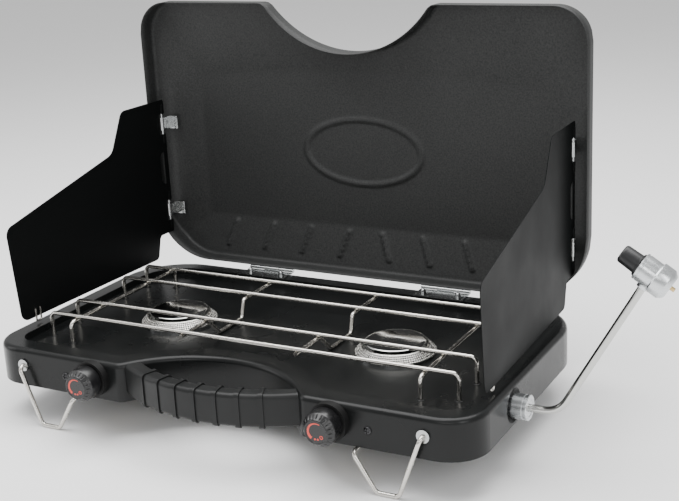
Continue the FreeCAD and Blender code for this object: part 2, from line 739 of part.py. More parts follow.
plug_rim = [edge for edge in plug_cap.Edges
            if isinstance(edge.Curve, Part.Circle) and edge.BoundBox.ZMax < 0.1]
plug_outer = along(plug_cap.makeFillet(2.0, plug_rim), -value("plug_length"))
shape_part("regulator_plug", plug_inner.fuse(plug_outer))

# --- wire legs and their bushings -----------------------------------------------------------------

for end, way, pivot in (("front", -1, "leg_pivot_x"), ("back", 1, "rear_leg_pivot_x")):
    face = f"({way} * body_depth / 2)"
    for side, sign in SIDES.items():
        pivot_x = f"({sign} * {pivot})"
        plane = f"({face} + {way} * leg_standoff)"
        inside = f"({face} - {way} * leg_hook_reach)"
        hook_x = f"{sign} * ({pivot} - leg_slant - leg_foot - leg_return)"
        hook_z = "foot_height - leg_wire / 2 - leg_stop_gap"
        wire = bent_wire([
            point(pivot_x, f"{face} - {way} * bushing_length", "leg_pivot_z"),
            point(pivot_x, plane, "leg_pivot_z"),
            point(f"{sign} * ({pivot} - leg_slant)", plane, "leg_wire / 2"),
            point(f"{sign} * ({pivot} - leg_slant - leg_foot)", plane, "leg_wire / 2"),
            point(hook_x, plane, hook_z),
            point(hook_x, inside, hook_z)], value("leg_wire"), value("leg_bend"))
        shape_part(f"leg_{end}_{side}", wire)
        outward = FORTH if way < 0 else BACK
        inward = BACK if way < 0 else FORTH
        lip = cylinder(f"bushing_lip_{end}_{side}", "bushing_radius", "bushing_flange",
                       (pivot_x, face, "leg_pivot_z"), outward)
        sleeve = cylinder(f"bushing_sleeve_{end}_{side}", "bushing_radius - 2", "bushing_length - 2",
                          (pivot_x, face, "leg_pivot_z"), inward)
        bore = cylinder(f"bushing_bore_{end}_{side}", "leg_wire / 2 + bushing_play", "bushing_length + bushing_flange",
                        (pivot_x, f"{face} + {way} * bushing_flange", "leg_pivot_z"), inward)
        keep(cut(f"bushing_{end}_{side}", fuse(f"bushing_solid_{end}_{side}", lip, sleeve), bore),
             f"leg_bushing_{end}_{side}")

# --- lid ------------------------------------------------------------------------------------------

def lid_block(name, inset):
    """The lid lying closed, as a solid block: rim, sloped border and raised middle panel."""
    body = doc.addObject("PartDesign::Body", name)
    base = f"0 - 2 * ({inset})"
    shoulder = f"lid_rim - ({inset})"
    outline = (f"body_width - 2 * ({inset})", f"body_depth - 2 * ({inset})", f"corner_radius - ({inset})",
               f"rear_corner - ({inset})")
    plan = rounded_rectangle(body, name + "_plan", *outline, base)
    pad(body, name + "_pad", plan, f"({shoulder}) - ({base})")
    low = rounded_rectangle(body, name + "_low", *outline, shoulder)
    high = rounded_rectangle(body, name + "_high", "panel_width", "panel_depth", "panel_corner", "panel_corner",
                             f"lid_rim + panel_rise - ({inset})", "panel_centre")
    border = body.newObject("PartDesign::AdditiveLoft", name + "_border")
    border.Profile = low
    border.Sections = [high]
    border.Ruled = True
    doc.recompute()
    bite = circle_sketch(body, name + "_bite", f"recess_radius + ({inset})", "recess_centre", base)
    pocket_through(body, name + "_notch", bite)
    fillet(body, name + "_notch_corners", upright_at_recess, f"recess_corner - ({inset})")
    return body


lid_solid = cut("lid_pressing", lid_block("lid_outer", "0"), lid_block("lid_inner", "lid_sheet"))
keep(turned("lid", lid_solid, ("0", "lid_plane", "lid_base"), BACK), "lid_shell")

# --- lid hinges -----------------------------------------------------------------------------------

for side, sign in SIDES.items():
    middle = f"({sign} * hinge_x)"
    left = f"({middle} - hinge_width / 2)"
    axis = ("lid_hinge_y", "lid_hinge_z")
    side_run = "((hinge_width - barrel_middle) / 2 - barrel_gap)"
    plate = box(f"leaf_plate_{side}", "hinge_width", "hinge_reach - barrel_radius - barrel_gap", "hinge_plate",
                (left, "lid_hinge_y - hinge_reach", "rim_top"))
    tongue = box(f"leaf_tongue_{side}", "barrel_middle", "barrel_radius + barrel_gap + 0.6", "hinge_plate",
                 (f"{middle} - barrel_middle / 2", "lid_hinge_y - barrel_radius - barrel_gap - 0.3", "rim_top"))
    barrel = cylinder(f"leaf_barrel_{side}", "barrel_radius", "barrel_middle",
                      (f"{middle} - barrel_middle / 2", *axis), RIGHT)
    bore = cylinder(f"leaf_bore_{side}", "barrel_pin + 0.05", "barrel_middle",
                    (f"{middle} - barrel_middle / 2", *axis), RIGHT)
    keep(cut(f"body_leaf_{side}_cut", fuse(f"body_leaf_solid_{side}", plate, tongue, barrel), bore),
         f"body_leaf_{side}")

    leaf_low = "lid_base - body_depth / 2 - hinge_plate"
    lid_plate = box(f"lid_plate_{side}", "hinge_width", "lid_leaf_reach", "hinge_plate",
                    (left, "lid_hinge_y + 1", leaf_low))
    ends = []
    for tag, start in (("a", left), ("b", f"{middle} + barrel_middle / 2 + barrel_gap")):
        ends.append(cylinder(f"lid_barrel_{side}{tag}", "barrel_radius", side_run, (start, *axis), RIGHT))
    window = box(f"lid_window_{side}", "barrel_middle + 2 * barrel_gap", "barrel_radius * 2",
                 "hinge_plate * 2", (f"{middle} - barrel_middle / 2 - barrel_gap", "lid_hinge_y",
                                     f"{leaf_low} - hinge_plate / 2"))
    keep(cut(f"lid_leaf_{side}_cut", fuse(f"lid_leaf_solid_{side}", lid_plate, *ends), window),
         f"lid_leaf_{side}")
    # the pin is fast in the lid leaf's end barrels, so it is drawn only where the body leaf turns on it
    keep(cylinder(f"lid_pin_{side}", "barrel_pin", "barrel_middle + 2 * barrel_gap",
                  (f"{middle} - barrel_middle / 2 - barrel_gap", *axis), RIGHT), f"lid_hinge_pin_{side}")

    nuts = []
    for tag, offset in (("a", -1), ("b", 1)):
        nut_x = f"{middle} + {offset} * nut_spread / 2"
        shank = cylinder(f"capnut_base_{side}{tag}", "capnut_radius", "capnut_height",
                         (nut_x, "nut_y", "rim_top + hinge_plate"))
        dome = sphere(f"capnut_dome_{side}{tag}", "capnut_radius * 0.8",
                      (nut_x, "nut_y", "rim_top + hinge_plate + capnut_height * 0.8"))
        nuts.append(fuse(f"capnut_{side}{tag}", shank, dome))
    nut_pair = doc.addObject("Part::Compound", f"capnuts_{side}")
    nut_pair.Links = nuts
    keep(nut_pair, f"hinge_nuts_{side}")

# --- windscreens ----------------------------------------------------------------------------------

def rounded_outline(points):
    """A closed flat outline from (along, up, radius) corners, each rounded by a tangent arc."""
    edges = []
    count = len(points)
    starts = []
    ends = []
    for index in range(count):
        here = Vector(points[index][0], 0, points[index][1])
        before = Vector(points[index - 1][0], 0, points[index - 1][1])
        after = Vector(points[(index + 1) % count][0], 0, points[(index + 1) % count][1])
        inward = (before - here).normalize()
        outward = (after - here).normalize()
        half = inward.getAngle(outward) / 2
        bend = points[index][2]
        trim = bend / math.tan(half)
        starts.append(here + inward * trim)
        ends.append(here + outward * trim)
        if bend:
            middle = here + (inward + outward).normalize() * (bend / math.sin(half) - bend)
            edges.append(Part.Arc(starts[-1], middle, ends[-1]).toShape())
    for index in range(count):
        edges.append(Part.makeLine(ends[index], starts[(index + 1) % count]))
    return Part.Wire(Part.__sortEdges__(edges))


def screen_shapes():
    """Windscreen, its two hinge wires and hook wire, with the hinge axis on Z and the sheet toward +X."""
    thick = value("screen_sheet")
    corner = value("screen_corner")
    rear = -value("screen_edge")
    outline = rounded_outline([
        (rear, value("screen_high_z"), 4),
        (value("screen_shoulder"), value("screen_high_z"), corner),
        (value("screen_step_x"), value("screen_step_z"), corner * 1.5),
        (value("screen_reach"), value("screen_front_z"), corner),
        (value("screen_foot"), value("screen_low_z"), corner),
        (value("screen_heel"), value("screen_low_z"), corner * 0.6),
        (value("screen_heel") - 8, value("screen_heel_z"), corner * 0.5),
        (rear, value("screen_heel_z"), 2)])
    flat = Part.Face(outline).extrude(Vector(0, thick, 0))
    flat.translate(Vector(0, -thick / 2, 0))
    pins = []
    for level in (value("knuckle_high_z"), value("knuckle_low_z")):
        gap = value("notch_height")
        span = value("pin_span")
        notch = Part.makeBox(value("notch_reach") - rear, 4 * thick, gap,
                             Vector(rear, -2 * thick, level - gap / 2))
        curls = [Part.makeCylinder(value("curl_radius"), (span - gap) / 2, Vector(0, 0, base))
                 for base in (level - span / 2, level + gap / 2)]
        bore = Part.makeCylinder(value("pin_wire") / 2, span, Vector(0, 0, level - span / 2))
        flat = flat.cut(notch).fuse(curls).cut(bore)
        pins.append(Part.makeCylinder(value("pin_wire") / 2, span, Vector(0, 0, level - span / 2)))
    slot_mid = value("(knuckle_high_z + knuckle_low_z) / 2")
    slot_high = value("slot_height")
    slot_wide = value("slot_width")
    slot = Part.makeBox(slot_wide, 4 * thick, slot_high, Vector(3, -2 * thick, slot_mid - slot_high / 2))
    slot_edges = [edge for edge in slot.Edges
                  if edge.BoundBox.YLength > 1 and edge.BoundBox.XMin > 3 + slot_wide - 0.1]
    flat = flat.cut(slot.makeFillet(slot_wide * 0.9, slot_edges))
    wire = value("hook_wire")
    low = value("rim_top + hook_clearance") + wire / 2
    side = thick / 2 + wire / 2
    back = value("screen_foot - hook_back")
    hook = bent_wire([
        Vector(back, side, low + value("hook_rise")),
        Vector(back, side, low),
        Vector(back + value("hook_turn"), side, low),
        Vector(back + value("hook_turn"), side, low + value("hook_rise"))], wire, 2.0)
    return flat.removeSplitter(), Part.makeCompound(pins), hook


def strap_shape():
    """A hinge strap: a loop round the pin, a leg into the lid and a riveted flange on its border."""
    thick = value("strap_sheet")
    tall = value("strap_height")
    inner = value("pin_wire") / 2 + value("strap_play")
    reach = value("lid_rim + lid_sheet - screen_hinge_in") - 3.2
    loop = Part.makeCylinder(inner + thick, tall)
    leg = Part.makeBox(thick, reach, tall, Vector(inner, 0, 0))
    flange = Part.makeBox(value("strap_flange"), thick, tall, Vector(inner, reach - thick, 0))
    rivet = Part.makeCylinder(value("rivet_radius"), 1.2,
                              Vector(inner + value("strap_flange") * 0.6, reach - thick, tall / 2), Vector(0, -1, 0))
    strap = loop.fuse([leg, flange, rivet]).cut(Part.makeCylinder(inner, tall))
    return strap.removeSplitter()


screen, pins, hook = screen_shapes()
for side, sign in SIDES.items():
    hinge = point(f"{sign} * screen_hinge_x", "screen_hinge_y", "0")
    # +X of the sheet turns to point at the cook, then splays outward
    turn = Rotation(Vector(0, 0, 1), -90 + sign * value("screen_splay"))
    for shape, label in ((screen, "windscreen"), (pins, "screen_pins"), (hook, "screen_hook")):
        placed = shape.copy()
        if label == "screen_hook" and sign > 0:
            placed = placed.mirror(Vector(), Vector(0, 1, 0))
        placed.Placement = Placement(hinge, turn).multiply(placed.Placement)
        shape_part(f"{label}_{side}", placed)
    straps = []
    for level in (value("knuckle_high_z"), value("knuckle_low_z")):
        strap = strap_shape()
        if sign > 0:
            strap = strap.mirror(Vector(), Vector(1, 0, 0))
        strap.translate(Vector(hinge.x, hinge.y, level - value("strap_height") / 2))
        straps.append(strap)
    shape_part(f"hinge_straps_{side}", Part.makeCompound(straps))

# --- grate ----------------------------------------------------------------------------------------

top_level = value("floor_top + grate_height - grate_wire / 2")
under_level = top_level - value("grate_wire")
floor_level = value("floor_top")
wire_size = value("grate_wire")
wire_bend = value("grate_bend")
rows = ("grate_front", "grate_front_inner", "grate_rear_inner", "grate_rear")
for number, row in enumerate(rows, start=1):
    half = value("grate_half")
    y = value(row)
    shape_part(f"grate_wire_{number}", bent_wire([
        Vector(-half, y, floor_level),
        Vector(-half, y, top_level),
        Vector(half, y, top_level),
        Vector(half, y, floor_level)], wire_size, wire_bend))
for side, sign in SIDES.items():
    x = sign * value("cross_x")
    near = value("grate_front - cross_overhang")
    far = value("grate_rear + cross_overhang")
    shape_part(f"grate_cross_{side}", bent_wire([
        Vector(x, near, floor_level),
        Vector(x, near, under_level),
        Vector(x, far, under_level),
        Vector(x, far, floor_level)], wire_size, wire_bend))
    x = sign * value("saddle_x")
    down = value("saddle_down")
    up = value("saddle_up")
    low = floor_level + wire_size / 2
    shape_part(f"grate_saddle_{side}", bent_wire([
        Vector(x, value("grate_front") - 3, under_level),
        Vector(x, value("grate_front_inner") + 4, under_level),
        Vector(x, down, low),
        Vector(x, up, low),
        Vector(x, up + value("saddle_slope"), under_level),
        Vector(x, value("grate_rear") + 3, under_level)], wire_size, 5.0))

# --- checks and export ----------------------------------------------------------------------------

doc.recompute()
for obj in doc.Objects:
    if "Invalid" in obj.State or "Error" in obj.State:
        raise RuntimeError(f"{obj.Name} failed: {obj.State}")
for obj in subparts:
    if obj.Shape.isNull() or not obj.Shape.isValid():
        raise RuntimeError(f"{obj.Label} has no valid shape")
os.makedirs("parts", exist_ok=True)
for obj in subparts:
    obj.Shape.exportStep(f"parts/{obj.Label}.step")
print(len(subparts), "sub-parts")
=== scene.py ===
import json
import math

import bmesh
import bpy
from mathutils import Matrix, Vector


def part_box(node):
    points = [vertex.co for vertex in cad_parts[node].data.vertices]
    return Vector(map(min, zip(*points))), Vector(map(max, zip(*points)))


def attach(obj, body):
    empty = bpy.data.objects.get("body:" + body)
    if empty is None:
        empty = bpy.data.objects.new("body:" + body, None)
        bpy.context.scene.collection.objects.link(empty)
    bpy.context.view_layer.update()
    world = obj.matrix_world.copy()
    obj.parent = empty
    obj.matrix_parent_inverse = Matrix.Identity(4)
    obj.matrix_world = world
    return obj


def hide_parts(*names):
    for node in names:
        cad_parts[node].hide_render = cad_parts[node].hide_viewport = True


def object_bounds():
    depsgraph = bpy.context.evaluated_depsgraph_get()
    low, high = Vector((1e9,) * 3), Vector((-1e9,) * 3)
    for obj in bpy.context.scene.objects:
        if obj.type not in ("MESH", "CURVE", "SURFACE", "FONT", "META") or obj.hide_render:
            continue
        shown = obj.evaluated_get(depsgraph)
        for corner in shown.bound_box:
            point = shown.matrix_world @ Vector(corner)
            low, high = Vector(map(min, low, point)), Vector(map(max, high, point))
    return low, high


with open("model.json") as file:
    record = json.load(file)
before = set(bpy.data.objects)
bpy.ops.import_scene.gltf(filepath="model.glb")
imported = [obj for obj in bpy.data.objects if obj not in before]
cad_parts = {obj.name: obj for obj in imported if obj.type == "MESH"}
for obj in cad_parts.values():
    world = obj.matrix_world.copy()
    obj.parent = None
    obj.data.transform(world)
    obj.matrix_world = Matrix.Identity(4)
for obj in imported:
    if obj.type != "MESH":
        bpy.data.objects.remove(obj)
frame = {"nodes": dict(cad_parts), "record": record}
cad_box = [list(corner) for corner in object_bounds()]

# --- viewpoint ------------------------------------------------------------------------------------
# The stove is seen by someone standing at its right front corner, a little above the rim.
# The camera leans slightly to one side and has no shift or depth of field.

azimuth = math.radians(28.75)
elevation = math.radians(17.02)
lean = math.radians(-2.90)
camera_back = Vector((math.sin(azimuth) * math.cos(elevation),
                      -math.cos(azimuth) * math.cos(elevation),
                      math.sin(elevation)))
level_right = (-camera_back).cross(Vector((0, 0, 1))).normalized()
level_up = level_right.cross(-camera_back)
camera_right = level_right * math.cos(lean) + level_up * math.sin(lean)
camera_up = level_up * math.cos(lean) - level_right * math.sin(lean)

camera_data = bpy.data.cameras.new("viewpoint")
camera_data.sensor_width = 36
camera_data.lens = 67.70
camera_data.clip_start = 0.05
viewpoint = bpy.data.objects.new("viewpoint", camera_data)
bpy.context.scene.collection.objects.link(viewpoint)
viewpoint.matrix_world = Matrix.Translation((0.73586, -1.20485, 0.61104)) @ Matrix(
    (camera_right, camera_up, camera_back)).transposed().to_4x4()
bpy.context.scene.camera = viewpoint

# --- studio ---------------------------------------------------------------------------------------
# A plain pale floor runs back under a bright, even surround. Large softboxes stand over the stove,
# in front of it and on both sides, so the black paint shows long soft highlights.


def material(name, colour, roughness, metallic=0.0):
    """A new material with one Principled shader, and the shader."""
    made = bpy.data.materials.new(name)
    made.use_nodes = True
    shader = made.node_tree.nodes["Principled BSDF"]
    shader.inputs["Base Color"].default_value = (*colour, 1)
    shader.inputs["Roughness"].default_value = roughness
    shader.inputs["Metallic"].default_value = metallic
    return made, shader


def noise(made, scale, detail=3.0, stretch=(1, 1, 1)):
    """Noise in the piece's own coordinates, in features per metre, longer where stretch is smaller."""
    nodes = made.node_tree.nodes
    place = nodes.new("ShaderNodeTexCoord")
    sizing = nodes.new("ShaderNodeMapping")
    sizing.inputs["Scale"].default_value = stretch
    texture = nodes.new("ShaderNodeTexNoise")
    texture.inputs["Scale"].default_value = scale
    texture.inputs["Detail"].default_value = detail
    made.node_tree.links.new(place.outputs["Object"], sizing.inputs["Vector"])
    made.node_tree.links.new(sizing.outputs["Vector"], texture.inputs["Vector"])
    return texture.outputs["Fac"]


def between(made, source, low, high, start=0.3, end=0.7):
    """The source spread from one number or colour to another."""
    if isinstance(low, tuple):
        ramp = made.node_tree.nodes.new("ShaderNodeValToRGB")
        ramp.color_ramp.elements[0].color = (*low, 1)
        ramp.color_ramp.elements[1].color = (*high, 1)
        ramp.color_ramp.elements[0].position = start
        ramp.color_ramp.elements[1].position = end
        made.node_tree.links.new(source, ramp.inputs["Fac"])
        return ramp.outputs["Color"]
    spread = made.node_tree.nodes.new("ShaderNodeMapRange")
    spread.inputs["From Min"].default_value = start
    spread.inputs["From Max"].default_value = end
    spread.inputs["To Min"].default_value = low
    spread.inputs["To Max"].default_value = high
    made.node_tree.links.new(source, spread.inputs["Value"])
    return spread.outputs["Result"]


def relief(made, shader, source, strength, height):
    """Raises the surface by the source, in metres at full height."""
    bump = made.node_tree.nodes.new("ShaderNodeBump")
    bump.inputs["Strength"].default_value = strength
    bump.inputs["Distance"].default_value = height
    made.node_tree.links.new(source, bump.inputs["Height"])
    made.node_tree.links.new(bump.outputs["Normal"], shader.inputs["Normal"])


def set_from(made, shader, socket, source):
    """Drives one socket of the shader from a source that varies over the surface."""
    made.node_tree.links.new(source, shader.inputs[socket])


studio_floor, floor_shader = material("studio_floor", (0.93, 0.93, 0.93), 0.8)
set_from(studio_floor, floor_shader, "Roughness",
         between(studio_floor, noise(studio_floor, 20), 0.7, 0.8))
floor_mesh = bpy.data.meshes.new("floor")
floor_level = cad_box[0][2]
floor_half, floor_front, floor_back = 6, -4, 8
floor_mesh.from_pydata([(-floor_half, floor_front, floor_level), (floor_half, floor_front, floor_level),
                        (floor_half, floor_back, floor_level), (-floor_half, floor_back, floor_level)],
                       [], [(0, 1, 2, 3)])
floor = bpy.data.objects.new("floor", floor_mesh)
floor.data.materials.append(studio_floor)
bpy.context.scene.collection.objects.link(floor)

surround = bpy.data.worlds.new("surround")
surround.use_nodes = True
surround.node_tree.nodes["Background"].inputs["Color"].default_value = (1, 1, 1, 1)
surround.node_tree.nodes["Background"].inputs["Strength"].default_value = 0.75
bpy.context.scene.world = surround


def softbox(name, place, size, power):
    """A rectangular soft light that faces the stove."""
    lamp = bpy.data.lights.new(name, "AREA")
    lamp.shape = "RECTANGLE"
    lamp.size, lamp.size_y = size
    lamp.energy = power
    light = bpy.data.objects.new(name, lamp)
    light.location = place
    light.rotation_euler = (Vector((0, 0, 0.15)) - light.location).to_track_quat("-Z", "Y").to_euler()
    bpy.context.scene.collection.objects.link(light)


softbox("softbox_over", (-0.1, 0.1, 1.8), (2.4, 1.6), 75)
softbox("softbox_left", (-1.7, -0.7, 0.9), (0.7, 1.2), 6)
softbox("softbox_front", (0.6, -2.0, 1.1), (1.2, 0.5), 7)
softbox("softbox_right", (1.5, -0.9, 0.9), (0.5, 0.9), 7)

# --- pressed tray ---------------------------------------------------------------------------------
# One pressing of sheet steel with a rolled rim, a sunk burner floor and a bite for the handle.
# It is sprayed with black stove enamel: glossy, with a faint orange peel and a little dust.

stove_enamel, enamel = material("stove_enamel", (0.005, 0.0055, 0.0055), 0.26)
enamel.inputs["Specular IOR Level"].default_value = 0.22
peel = noise(stove_enamel, 420, 2)
haze = noise(stove_enamel, 9, 4)
set_from(stove_enamel, enamel, "Roughness", between(stove_enamel, haze, 0.22, 0.34))
set_from(stove_enamel, enamel, "Base Color",
         between(stove_enamel, haze, (0.004, 0.0045, 0.0045), (0.007, 0.0075, 0.0075)))
relief(stove_enamel, enamel, peel, 0.25, 0.0002)


def dress(made, *nodes):
    """Gives a material to CAD pieces that keep their own shape."""
    for node in nodes:
        for place in frame["nodes"][node].material_slots:
            place.material = made


dress(stove_enamel, "body_shell")

# --- carrying handle ------------------------------------------------------------------------------
# An arched bar of moulded black plastic with seven ribs that wrap round it for grip.
# It is moulded with a fine leather texture and screwed to the tray from inside.

grip_plastic, grip = material("grip_plastic", (0.007, 0.0075, 0.0075), 0.42)
grip.inputs["Specular IOR Level"].default_value = 0.25
set_from(grip_plastic, grip, "Roughness", between(grip_plastic, noise(grip_plastic, 30, 4), 0.36, 0.5))
set_from(grip_plastic, grip, "Base Color",
         between(grip_plastic, noise(grip_plastic, 14, 3), (0.006, 0.0065, 0.0065), (0.010, 0.0105, 0.0105)))
relief(grip_plastic, grip, noise(grip_plastic, 900, 3), 0.35, 0.00015)
dress(grip_plastic, "handle_grip")

# --- knobs ----------------------------------------------------------------------------------------
# Two moulded knobs turn the valves' brass stems. Each has a smooth skirt, a bevel of twenty facets
# and a sunk face with a printed red crescent and dots. A plain round bezel hides the wall's hole.

knob_plastic, knob_shader = material("knob_plastic", (0.006, 0.006, 0.0065), 0.33)
knob_shader.inputs["Specular IOR Level"].default_value = 0.5
set_from(knob_plastic, knob_shader, "Roughness",
         between(knob_plastic, noise(knob_plastic, 60, 3), 0.22, 0.34))
relief(knob_plastic, knob_shader, noise(knob_plastic, 1200, 2), 0.2, 0.0001)
bezel_plastic, bezel_shader = material("bezel_plastic", (0.006, 0.006, 0.006), 0.55)
bezel_shader.inputs["Specular IOR Level"].default_value = 0.2
set_from(bezel_plastic, bezel_shader, "Roughness",
         between(bezel_plastic, noise(bezel_plastic, 40, 3), 0.5, 0.62))
relief(bezel_plastic, bezel_shader, noise(bezel_plastic, 900, 2), 0.3, 0.0001)
dress(bezel_plastic, "knob_bezel_l", "knob_bezel_r")
mark_red, mark_shader = material("printed_red", (0.62, 0.055, 0.035), 0.5)
set_from(mark_red, mark_shader, "Base Color",
         between(mark_red, noise(mark_red, 300, 3), (0.55, 0.045, 0.03), (0.70, 0.075, 0.05)))

millimetre = 0.001


def lathe(shape, profile, place, segments=96, wave=None):
    """Turns a profile of (radius, height) in millimetres about the place's Z axis."""
    rings = []
    for radius, height in profile:
        if radius == 0:
            rings.append([shape.verts.new(place @ Vector((0, 0, height * millimetre)))])
            continue
        ring = []
        for index in range(segments):
            angle = 2 * math.pi * index / segments
            reach = (radius + (wave(angle, radius, height) if wave else 0)) * millimetre
            ring.append(shape.verts.new(place @ Vector(
                (reach * math.cos(angle), reach * math.sin(angle), height * millimetre))))
        rings.append(ring)
    for low, high in zip(rings, rings[1:]):
        for index in range(segments):
            following = (index + 1) % segments
            corners = [low[index % len(low)], low[following % len(low)],
                       high[following % len(high)], high[index % len(high)]]
            face = [vert for at, vert in enumerate(corners) if vert not in corners[:at]]
            if len(face) > 2:
                shape.faces.new(face)


def piece_from(name, shape, made, smooth_angle=35):
    """A mesh object made from a bmesh, with its material and edges sharp above an angle."""
    bmesh.ops.recalc_face_normals(shape, faces=shape.faces)
    limit = math.radians(smooth_angle)
    for edge in shape.edges:
        edge.smooth = len(edge.link_faces) != 2 or edge.calc_face_angle(0) < limit
    for face in shape.faces:
        face.smooth = True
    mesh = bpy.data.meshes.new(name)
    shape.to_mesh(mesh)
    shape.free()
    mesh.materials.append(made)
    piece = bpy.data.objects.new(name, mesh)
    bpy.context.scene.collection.objects.link(piece)
    return piece


facet_count = 20
bevel_from, bevel_to = 16.4, 21.8
bevel_outer, bevel_draw = 17.9, 4.2
bevel_steps = 8
facet_cut, facet_line = 1.1, 0.22
face_level = 22.2
print_sunk, print_proud = 0.1, 0.15
crescent_radius = 10.0
crescent_steps = 40
crescent_start, crescent_turn = 62, 170
crescent_thin, crescent_swell = 0.8, 2.3
spots = ((-38, 1.2, 2.0), (-75, 0, 1.1), (-100, 0, 1.1))
spot_reach = 7.6


def facets(angle, radius, height):
    """Draws the bevel in along the lines between its facets."""
    if not bevel_from < height < bevel_to:
        return 0.0
    middle = math.sin(math.pi * (height - bevel_from) / (bevel_to - bevel_from))
    beside = abs((angle * facet_count / (2 * math.pi)) % 1 - 0.5) * 2
    return -facet_cut * middle * max(1 - (1 - beside) / facet_line, 0) ** 0.5


def crescent(shape, place):
    """A red crescent, thick at its lower end, with a small ring and two dots after it."""
    low, high = face_level - print_sunk, face_level + print_proud
    rows = []
    for step in range(crescent_steps + 1):
        share = step / crescent_steps
        angle = math.radians(crescent_start + crescent_turn * share)
        width = crescent_thin + crescent_swell * share
        row = []
        for radius in (crescent_radius, crescent_radius - width):
            for level in (low, high):
                row.append(shape.verts.new(place @ (Vector(
                    (radius * math.cos(angle), radius * math.sin(angle), level)) * millimetre)))
        rows.append([row[0], row[1], row[3], row[2]])
    for near, far in zip(rows, rows[1:]):
        for index in range(4):
            following = (index + 1) % 4
            shape.faces.new((near[index], near[following], far[following], far[index]))
    shape.faces.new(rows[0])
    shape.faces.new(rows[-1][::-1])
    for angle, inner, outer in spots:
        turn = math.radians(angle)
        away = Vector((math.cos(turn), math.sin(turn), 0)) * spot_reach * millimetre
        spot = place @ Matrix.Translation(away)
        ring = [(inner, low), (outer, low), (outer, high), (inner, high), (inner, low)]
        lathe(shape, ring if inner else ring[:-1], spot, 24)


# a turned piece's own axis points forward, out of the front wall
forward = Matrix(((1, 0, 0), (0, 0, -1), (0, 1, 0))).to_4x4()
skirt = [(0, 0), (17.4, 0), (18.2, 0.4), (18.5, 1.2), (18.5, 15.2), (18.2, 16.0)]
bevel = [(bevel_outer - bevel_draw * step / bevel_steps,
          bevel_from + (bevel_to - bevel_from) * step / bevel_steps) for step in range(bevel_steps + 1)]
dish = [(13.2, 22.5), (12.7, 22.9), (12.1, 22.9), (11.7, 22.6), (11.5, face_level), (0, face_level)]

for side, body in (("l", "left_knob"), ("r", "right_knob")):
    knob_low, knob_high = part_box("knob_" + side)
    knob_middle = (knob_low + knob_high) / 2
    place = Matrix.Translation((knob_middle.x, knob_high.y, knob_middle.z)) @ forward
    turned = bmesh.new()
    lathe(turned, skirt + bevel + dish, place, facet_count * 12, facets)
    knob = piece_from("knob_cap_" + side, turned, knob_plastic, 50)
    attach(knob, body)
    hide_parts("knob_" + side)
    printed = bmesh.new()
    crescent(printed, place)
    marks = piece_from("knob_marks_" + side, printed, mark_red)
    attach(marks, body)

# --- valves ---------------------------------------------------------------------------------------
# A turned brass needle valve stands behind each knob under the tray. A bent steel pipe feeds both
# valves from a plated inlet fitting, and a plated tube carries gas and air on to each burner.

brass, brass_shader = material("brass", (0.72, 0.52, 0.24), 0.3, 1.0)
set_from(brass, brass_shader, "Roughness", between(brass, noise(brass, 90, 3), 0.24, 0.38))
dress(brass, "valve_stem_l", "valve_stem_r", "valve_body_l", "valve_body_r")
steel, steel_shader = material("polished_steel", (0.55, 0.55, 0.53), 0.2, 1.0)
set_from(steel, steel_shader, "Roughness", between(steel, noise(steel, 90, 3), 0.14, 0.26))
dress(steel, "manifold_pipe")
zinc, zinc_shader = material("zinc_plate", (0.44, 0.45, 0.45), 0.2, 1.0)
set_from(zinc, zinc_shader, "Roughness", between(zinc, noise(zinc, 160, 3), 0.16, 0.28))
dress(zinc, "inlet_fitting", "venturi_tube_l", "venturi_tube_r")

# --- lid hinges -----------------------------------------------------------------------------------
# Two zinc-plated steel hinges carry the lid. One leaf of each is bolted to the tray's rear wall with
# cap nuts, the other to the lid, and a headless pin joins them.

dress(zinc, "body_leaf_l", "body_leaf_r", "hinge_nuts_l", "hinge_nuts_r",
      "lid_leaf_l", "lid_leaf_r", "lid_hinge_pin_l", "lid_hinge_pin_r")

# --- legs -----------------------------------------------------------------------------------------
# Four legs of bent nickel-plated steel wire fold against the walls. Each end is sprung into a
# zinc-plated bushing that is riveted through the wall.

plated, plated_shader = material("nickel_plated_wire", (0.62, 0.60, 0.56), 0.22, 1.0)
set_from(plated, plated_shader, "Roughness", between(plated, noise(plated, 120, 3), 0.16, 0.3))
dress(plated, "leg_front_l", "leg_front_r", "leg_back_l", "leg_back_r")
dress(zinc, "leg_bushing_front_l", "leg_bushing_front_r", "leg_bushing_back_l", "leg_bushing_back_r")

# --- burners --------------------------------------------------------------------------------------
# Each burner is a pressed and plated cup in the floor, a conical stainless ring punched with four
# rows of flame holes, and a polished disc that stands on a post above it.

ring_columns = 100
ring_rows = 4
hole_share = 0.30
hole_points = 8
first_row, last_row = 0.10, 0.88
ring_top_radius = 0.0375
ring_sheet = 0.0007


